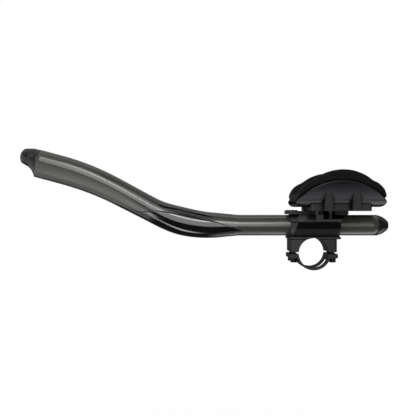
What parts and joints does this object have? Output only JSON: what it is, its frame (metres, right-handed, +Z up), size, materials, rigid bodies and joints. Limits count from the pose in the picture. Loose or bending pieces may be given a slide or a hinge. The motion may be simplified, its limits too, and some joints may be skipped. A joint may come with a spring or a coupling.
{
  "type": "aero handlebar extension",
  "caption": "Clip-on aero bar for one forearm: bent carbon extension tube held in a handlebar clamp bracket, with a padded arm cup above it.",
  "frame": {"origin": "centre of the handlebar bore, on the middle of the bracket's width", "axes": "+X rearward along the straight part of the extension, +Y along the handlebar, +Z up"},
  "size_m": [0.3956, 0.099, 0.1301],
  "materials": {
    "carbon": "satin clear coat over fine carbon, with gloss black stripes on the bend",
    "plug_rubber": "moulded soft rubber, slightly sheened",
    "black_alloy": "forged and black anodised",
    "black_steel": "black oxide screws and washers",
    "cup_plastic": "moulded nylon with a fine matte grain",
    "pad_fabric": "moulded foam with a black fabric face",
    "hook_tape": "black hook tape"
  },
  "bodies": {
    "bracket": {"clamp_body": "black_alloy", "armrest_saddle": "black_alloy", "saddle_bolts": "black_steel", "saddle_washers": "black_steel", "bar_clamp_strap": "black_alloy", "strap_bolts": "black_steel", "strap_washers": "black_steel", "arm_cup": "cup_plastic", "cup_bolts": "black_steel", "cup_washers": "black_steel", "arm_pad": "pad_fabric", "hook_strips": "hook_tape"},
    "extension": {"extension_tube": "carbon", "front_end_plug": "plug_rubber", "rear_end_plug": "plug_rubber"}
  },
  "joints": [
    {"name": "reach", "type": "slide", "parent": "bracket", "child": "extension", "axis": [1, 0, 0], "range_m": [-0.034, 0.036]}
  ]
}
